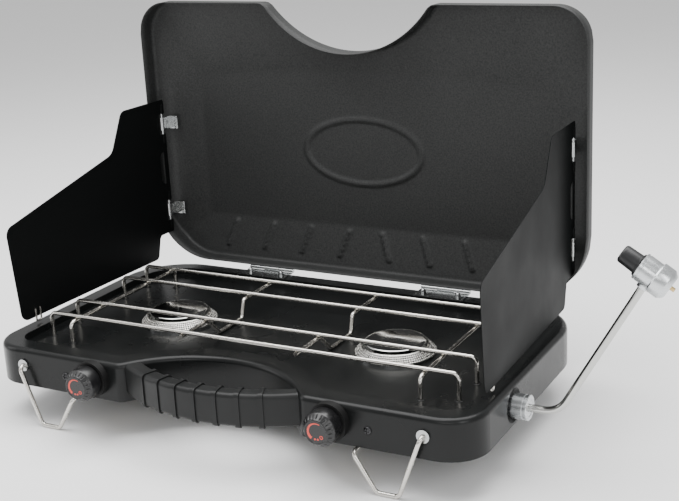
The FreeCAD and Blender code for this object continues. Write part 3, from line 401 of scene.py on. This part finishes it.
def flame_ring(shape, place, low_radius, top_radius, rise):
    """A conical sheet with a grid of round holes and a plain band at each edge."""

    def on_ring(column, share):
        """A point on the cone, counted in columns round it and in shares of its rise."""
        angle = 2 * math.pi * column / ring_columns
        radius = low_radius + (top_radius - low_radius) * share
        return shape.verts.new(place @ Vector(
            (radius * math.cos(angle), radius * math.sin(angle), rise * share)))

    shares = [first_row + (last_row - first_row) * row / ring_rows for row in range(ring_rows + 1)]
    shares = [0.0] + shares + [1.0]
    grid = [[on_ring(column, share) for column in range(ring_columns)] for share in shares]
    for row in range(len(shares) - 1):
        for column in range(ring_columns):
            following = (column + 1) % ring_columns
            corners = [grid[row][column], grid[row][following],
                       grid[row + 1][following], grid[row + 1][column]]
            if row in (0, len(shares) - 2):
                shape.faces.new(corners)
                continue
            middle = (shares[row] + shares[row + 1]) / 2
            pitch = shares[row + 1] - shares[row]
            hole = []
            for point in range(hole_points):
                turn = math.pi * (point / 4 - 0.75)
                across = column + 0.5 + hole_share * math.cos(turn)
                hole.append(on_ring(across, middle + pitch * hole_share * math.sin(turn)))
            for corner in range(4):
                shape.faces.new((corners[corner], corners[(corner + 1) % 4],
                                 hole[(2 * corner + 2) % hole_points],
                                 hole[2 * corner + 1], hole[2 * corner]))


burner_steel, burner_shader = material("spun_stainless", (0.60, 0.59, 0.56), 0.24, 1.0)
set_from(burner_steel, burner_shader, "Roughness",
         between(burner_steel, noise(burner_steel, 220, 3), 0.18, 0.34))
mirror_steel, mirror_shader = material("mirror_steel", (0.58, 0.58, 0.57), 0.08, 1.0)
set_from(mirror_steel, mirror_shader, "Roughness",
         between(mirror_steel, noise(mirror_steel, 60, 4), 0.05, 0.14))
dress(zinc, "burner_cup_l", "burner_cup_r")

disc = [(0, 0.1), (32.5, 0), (34.2, 0.3), (35, 1.0), (34.6, 1.6), (33.4, 1.95), (31.5, 2.0), (29, 1.8),
        (20, 1.7), (0, 1.7)]

for side in "lr":
    ring_low, ring_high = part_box("burner_ring_" + side)
    centre = (ring_low + ring_high) / 2
    punched = bmesh.new()
    flame_ring(punched, Matrix.Translation((centre.x, centre.y, ring_low.z)),
               (ring_high.x - ring_low.x) / 2, ring_top_radius, ring_high.z - ring_low.z)
    ring = piece_from("flame_ring_" + side, punched, burner_steel)
    sheet = ring.modifiers.new("sheet", "SOLIDIFY")
    sheet.thickness = ring_sheet
    sheet.offset = -1
    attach(ring, "tray")
    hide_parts("burner_ring_" + side)
    cap_low, cap_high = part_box("burner_cap_" + side)
    spun = bmesh.new()
    lathe(spun, disc, Matrix.Translation((centre.x, centre.y, cap_low.z)), 128)
    cap = piece_from("burner_disc_" + side, spun, mirror_steel, 60)
    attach(cap, "tray")
    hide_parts("burner_cap_" + side)

# --- union nut and tube ---------------------------------------------------------------------------
# A bent tube of polished steel brings the gas in. A ringed nut, turned from aluminium bar, holds it
# to the inlet fitting, so the tube can swivel.

dress(steel, "gas_tube")

alloy, alloy_shader = material("turned_aluminium", (0.62, 0.64, 0.65), 0.28, 1.0)
turning = noise(alloy, 260, 2, (0.15, 1, 1))
set_from(alloy, alloy_shader, "Roughness", between(alloy, turning, 0.2, 0.36))
relief(alloy, alloy_shader, turning, 0.12, 0.0002)

nut_low, nut_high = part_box("coupling_nut")
turned = bmesh.new()
along_x = Matrix(((0, 0, 1), (0, 1, 0), (-1, 0, 0))).to_4x4()
nut_middle = (nut_low + nut_high) / 2
nut_place = Matrix.Translation((nut_low.x, nut_middle.y, nut_middle.z)) @ along_x
nut_neck = [(7.7, 0), (10.5, 0), (11.0, 0.5), (11.0, 3.4)]
nut_grip = [(12.9, 3.9), (13.4, 4.5), (13.4, 15.8), (12.9, 16.3), (12.9, 17.0), (13.5, 17.5), (13.5, 20.3)]
nut_end = [(12.9, 21), (9.4, 21), (8.9, 20.4), (4.2, 20.2), (4.2, 13.2), (7.7, 13), (7.7, 0)]
lathe(turned, nut_neck + nut_grip + nut_end, nut_place)
nut = piece_from("union_nut", turned, alloy)
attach(nut, "union_nut")
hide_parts("coupling_nut")

# --- regulator ------------------------------------------------------------------------------------
# A drum turned from aluminium bar, with a boss for the tube and a brass relief pin. Its collar is
# threaded inside to take the gas cylinder's valve.

dress(brass, "regulator_pin")

socket = next(mount for mount in frame["record"]["mounts"] if mount["name"] == "cylinder_inlet")
inward = -Vector(socket["axis"]).normalized()
level = Vector((0, 1, 0))
along_socket = Matrix((level.cross(inward), level, inward)).transposed().to_4x4()
socket_place = Matrix.Translation(socket["pos_m"]) @ along_socket
turned = bmesh.new()
collar = [(0, 13), (12.1, 13), (12.1, 0.4), (12.5, 0), (13.6, 0), (14.2, 0.6), (14.2, 2.3), (13.7, 2.7),
          (13.7, 3.3), (14.1, 3.7), (14.1, 17.2)]
drum = [(14.6, 17.8), (15.6, 18), (16, 18.5), (16, 29.6), (15.6, 30.5), (12.2, 34.4), (11.4, 35),
        (4.4, 35), (4.0, 34.5), (0, 34.5)]
lathe(turned, collar + drum, socket_place, 128)

arm_angle = math.radians(60.2)
boss = [(0, 0), (6.4, 0), (6.4, 13.5), (6.0, 14.2), (6.0, 16.6), (5.5, 17.1), (4.1, 17.1)]
hub_depth = 13
arm_way = Vector((math.cos(arm_angle), 0, math.sin(arm_angle)))
hub = Vector(socket["pos_m"]) + inward * hub_depth * millimetre
along_arm = Matrix((arm_way.cross(level), level, -arm_way)).transposed().to_4x4()
lathe(turned, boss, Matrix.Translation(hub) @ along_arm, 48)
regulator = piece_from("regulator_drum", turned, alloy)
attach(regulator, "gas_arm")
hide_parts("regulator_body")

# --- dust plug ------------------------------------------------------------------------------------
# A slightly tapered cap moulded in black plastic. Its flange rests on the regulator's collar and its
# plain spigot is a push fit in the thread.

plug_plastic, plug_shader = material("plug_plastic", (0.008, 0.0085, 0.009), 0.36)
plug_shader.inputs["Specular IOR Level"].default_value = 0.4
set_from(plug_plastic, plug_shader, "Roughness",
         between(plug_plastic, noise(plug_plastic, 90, 3), 0.3, 0.44))
relief(plug_plastic, plug_shader, noise(plug_plastic, 1100, 2), 0.3, 0.0001)
moulded = bmesh.new()
spigot = [(0, 9), (11.6, 9), (11.9, 8.6), (11.9, 0)]
flange = [(11.8, -0.2), (11.8, -1.4), (11.2, -1.9), (10.1, -2.2)]
stopper = [(9.8, -3.2), (9.3, -18.6), (8.6, -20.0), (7.2, -20.8), (4.5, -21), (0, -21)]
lathe(moulded, spigot + flange + stopper, socket_place, 96)
plug = piece_from("dust_cap", moulded, plug_plastic, 40)
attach(plug, "dust_plug")
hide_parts("regulator_plug")

# --- grate ----------------------------------------------------------------------------------------
# A lift-out grate welded from nickel-plated steel wire. Its ends stand in twelve small raised rings
# pressed up from the burner floor, so it can't slide.

dress(plated, "grate_wire_1", "grate_wire_2", "grate_wire_3", "grate_wire_4",
      "grate_cross_l", "grate_cross_r", "grate_saddle_l", "grate_saddle_r")

foot_ring = [(2.6, -0.2), (5.2, -0.2), (5.0, 0.3), (4.2, 0.8), (3.2, 0.8), (2.7, 0.4), (2.6, -0.2)]
foot_rings = bmesh.new()
wire_radius = 0.0024
feet = []
for number in (1, 2, 3, 4):
    low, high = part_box(f"grate_wire_{number}")
    feet += [(x, (low.y + high.y) / 2, low.z) for x in (low.x + wire_radius, high.x - wire_radius)]
for side in "lr":
    low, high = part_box("grate_cross_" + side)
    feet += [((low.x + high.x) / 2, y, low.z) for y in (low.y + wire_radius, high.y - wire_radius)]
for foot in feet:
    lathe(foot_rings, foot_ring, Matrix.Translation(foot), 32)
rings = piece_from("grate_foot_rings", foot_rings, stove_enamel)
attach(rings, "tray")

# --- front screws ---------------------------------------------------------------------------------
# A black zinc-plated pan-head screw beside each knob holds the valve's bracket to the wall. Its
# domed head is cold forged with a cross-shaped recess.

head_radius, head_height = 4.5, 2.4
recess_depth = 0.9
recess_half_width, recess_reach = 0.55, 0.55


def cross_head(shape, place, radius, height):
    """A domed head as rings of points, sunk where the driver's cross goes."""
    segments, steps = 96, 24
    rings = []
    for step in range(1, steps + 1):
        reach = radius * step / steps
        ring = []
        for index in range(segments):
            angle = 2 * math.pi * index / segments
            across, up = reach * math.cos(angle), reach * math.sin(angle)
            level = height * math.sqrt(max(1 - (reach / radius) ** 3, 0))
            sunk = (min(abs(across), abs(up)) < recess_half_width
                    and max(abs(across), abs(up)) < radius * recess_reach)
            if sunk:
                level -= recess_depth
            ring.append(shape.verts.new(place @ (Vector((across, up, level)) * millimetre)))
        rings.append(ring)
    middle = shape.verts.new(place @ (Vector((0, 0, height - recess_depth)) * millimetre))
    for index in range(segments):
        shape.faces.new((middle, rings[0][index], rings[0][(index + 1) % segments]))
    for inner, outer in zip(rings, rings[1:]):
        for index in range(segments):
            following = (index + 1) % segments
            shape.faces.new((inner[index], outer[index], outer[following], inner[following]))
    shape.faces.new(rings[-1][::-1])


black_zinc, screw_shader = material("black_zinc", (0.05, 0.05, 0.052), 0.3, 1.0)
set_from(black_zinc, screw_shader, "Roughness",
         between(black_zinc, noise(black_zinc, 160, 3), 0.26, 0.4))
for side in "lr":
    low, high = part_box("front_screw_" + side)
    middle = (low + high) / 2
    pressed = bmesh.new()
    place = Matrix.Translation((middle.x, low.y + head_height * millimetre, middle.z)) @ forward
    cross_head(pressed, place, head_radius, head_height)
    screw = piece_from("pan_screw_" + side, pressed, black_zinc, 40)
    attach(screw, "tray")
    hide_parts("front_screw_" + side)

# --- windscreens ----------------------------------------------------------------------------------
# Two screens cut from thin sheet steel and powder coated black. Each turns on two plated wires held
# in zinc-plated straps that are riveted in the lid, and a bent wire hooks it to the tray's rim.

screen_paint, screen_shader = material("screen_paint", (0.005, 0.0055, 0.0055), 0.42)
screen_shader.inputs["Specular IOR Level"].default_value = 0.05
set_from(screen_paint, screen_shader, "Roughness",
         between(screen_paint, noise(screen_paint, 12, 4), 0.38, 0.5))
relief(screen_paint, screen_shader, noise(screen_paint, 700, 3), 0.35, 0.0002)
dress(screen_paint, "windscreen_l", "windscreen_r")
dress(zinc, "hinge_straps_l", "hinge_straps_r", "screen_pins_l", "screen_pins_r")
dress(plated, "screen_hook_l", "screen_hook_r")

# --- lid ------------------------------------------------------------------------------------------
# The lid is a shallow pan pressed from sheet steel: a rim wall, a sloped border with folded
# corners, and a flat middle with a plain oval bead. Four slanted grooves stiffen each lower side.

lid_low, lid_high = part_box("lid_shell")
lid_half_width = (lid_high.x - lid_low.x) / 2
lid_corner_high = 0.042
lid_corner_low = 0.080
notch_radius = 0.138
notch_centre = lid_high.z + 0.077
notch_corner = 0.012
lid_rim_depth = 0.024
lid_panel_depth = 0.038
lid_sheet = 0.001
lid_fold = 0.006
column_count = 244
row_count = 150
side_crowding = 0.25
end_crowding = 0.12
fold_steps = 6

notch_corner_z = lid_high.z - notch_corner
notch_corner_x = math.sqrt((notch_radius + notch_corner) ** 2 - (notch_centre - notch_corner_z) ** 2)


def lid_edges(x, inset):
    """The lowest and highest points of the lid's face at x, with its outline drawn in by inset."""
    x = abs(x)

    def corner_rise(radius):
        """How far the edge has turned away at x, in a corner of this radius."""
        over = max(x - (lid_half_width - radius), 0)
        return radius - math.sqrt(max((radius - inset) ** 2 - over ** 2, 0))

    low = lid_low.z + corner_rise(lid_corner_low)
    high = lid_high.z - corner_rise(lid_corner_high)
    touch = notch_corner_x * (notch_radius + inset) / (notch_radius + notch_corner)
    if x < touch:
        high = notch_centre - math.sqrt((notch_radius + inset) ** 2 - x ** 2)
    elif x < notch_corner_x:
        high = notch_corner_z + math.sqrt((notch_corner - inset) ** 2 - (x - notch_corner_x) ** 2)
    return low, high


panel_half = 0.240
panel_low = 0.152
panel_top = 0.342
panel_arch = 0.012
crease_softness = 0.015


def smooth_least(values, softness):
    """The least of the values, rounded where two of them meet."""
    least = min(values)
    return least - softness * math.log(sum(math.exp((least - v) / softness) for v in values))


def lid_depth(x, z):
    """How far the pressed face lies behind the rim at a place on the lid."""
    side = (lid_half_width - abs(x)) / (lid_half_width - panel_half)
    below = (z - lid_low.z) / (panel_low - lid_low.z)
    arch = panel_top + panel_arch * (1 - (x / panel_half) ** 2)
    above = (lid_high.z - z) / (lid_high.z - arch)
    slope = max(smooth_least((side, below, above, 1.0), crease_softness), 0)
    return lid_rim_depth + (lid_panel_depth - lid_rim_depth) * slope


groove_tops = (0.024, 0.081, 0.139, 0.197)
groove_top = 0.145
groove_drop = 0.032
groove_lean = 0.012
groove_half = 0.0035
groove_rise = 0.0036


def groove(x, z):
    """How far a slanted groove stands out of the lower border towards the cook."""
    best = 1.0
    for top in groove_tops:
        start = Vector((top, groove_top))
        run = Vector((groove_lean, -groove_drop))
        here = Vector((abs(x), z)) - start
        along = min(max(here.dot(run) / run.length_squared, 0), 1)
        best = min(best, (here - run * along).length / groove_half)
    return groove_rise * max(1 - best ** 2, 0) ** 1.5


bead_centre = 0.252
bead_half_width = 0.082
bead_half_height = 0.042
bead_half = 0.0045
bead_rise = 0.0028


def bead(x, z):
    """How far the plain oval bead stands out of the middle panel."""
    across, up = x / bead_half_width, (z - bead_centre) / bead_half_height
    radius = math.hypot(across, up)
    if radius < 0.3:
        return 0.0
    gap = abs(radius - 1) * radius / math.hypot(across / bead_half_width, up / bead_half_height)
    return bead_rise * max(1 - (gap / bead_half) ** 2, 0) ** 1.5


def press_lid():
    """The lid's face as a grid of columns, and its rim as rings round the grid's edge."""
    shape = bmesh.new()
    face_half = lid_half_width - lid_fold
    columns = []
    for column in range(column_count + 1):
        turn = math.pi * column / column_count
        # columns crowd a little towards the sides, where the corners turn
        even = 1 - 2 * column / column_count
        x = -face_half * ((1 - side_crowding) * even + side_crowding * math.cos(turn))
        low, high = lid_edges(x, lid_fold)
        line = []
        for row in range(row_count + 1):
            share = row / row_count
            share -= end_crowding * math.sin(2 * math.pi * share) / math.pi
            z = low + (high - low) * share
            y = lid_low.y + lid_depth(x, z) - groove(x, z) - bead(x, z)
            line.append(shape.verts.new((x, y, z)))
        columns.append(line)
    for left, right in zip(columns, columns[1:]):
        for row in range(row_count):
            shape.faces.new((left[row], right[row], right[row + 1], left[row + 1]))
    loop = [line[0] for line in columns]
    loop += columns[-1][1:]
    loop += [line[-1] for line in reversed(columns)][1:]
    loop += columns[0][1:-1][::-1]
    count = len(loop)
    normals = []
    for index in range(count):
        step = loop[(index + 1) % count].co - loop[index - 1].co
        normals.append(Vector((step.z, 0, -step.x)).normalized())
    quarter = math.pi / 2
    profile = [(lid_fold * math.sin(quarter * step / fold_steps),
                lid_fold * (1 - math.cos(quarter * step / fold_steps))) for step in range(1, fold_steps + 1)]
    profile.append((lid_fold, lid_rim_depth * 0.6))
    profile.append((lid_fold, lid_rim_depth))
    rings = [loop]
    for out, forward in profile:
        ring = []
        for start, normal in zip(loop, normals):
            y = max(start.co.y - forward, lid_low.y)
            if out == lid_fold and forward == lid_rim_depth:
                y = lid_low.y
            ring.append(shape.verts.new((start.co.x + normal.x * out, y, start.co.z + normal.z * out)))
        rings.append(ring)
    for inner, outer in zip(rings, rings[1:]):
        for index in range(count):
            following = (index + 1) % count
            shape.faces.new((inner[index], outer[index], outer[following], inner[following]))
    return shape


# The lid's black is lighter than the tray's enamel: partly its own matte paint, partly painted light
# standing in for the light that falls on the lid from the right. A fine speckle varies its tone at random.
lid_paint_and_painted_light, lid_shader = material("lid_paint_and_painted_light", (0.022, 0.0225, 0.022), 0.46)
lid_shader.inputs["Specular IOR Level"].default_value = 0.3
set_from(lid_paint_and_painted_light, lid_shader, "Roughness", between(lid_paint_and_painted_light, noise(lid_paint_and_painted_light, 8, 5), 0.45, 0.6))
set_from(lid_paint_and_painted_light, lid_shader, "Base Color",
         between(lid_paint_and_painted_light, noise(lid_paint_and_painted_light, 500, 3), (0.014, 0.0145, 0.0145), (0.032, 0.033, 0.0325)))
relief(lid_paint_and_painted_light, lid_shader, noise(lid_paint_and_painted_light, 700, 3), 0.5, 0.0003)

lid_pan = piece_from("lid_pan", press_lid(), lid_paint_and_painted_light, 60)
sheet = lid_pan.modifiers.new("sheet", "SOLIDIFY")
sheet.thickness = lid_sheet
sheet.offset = -1
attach(lid_pan, "lid")
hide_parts("lid_shell")
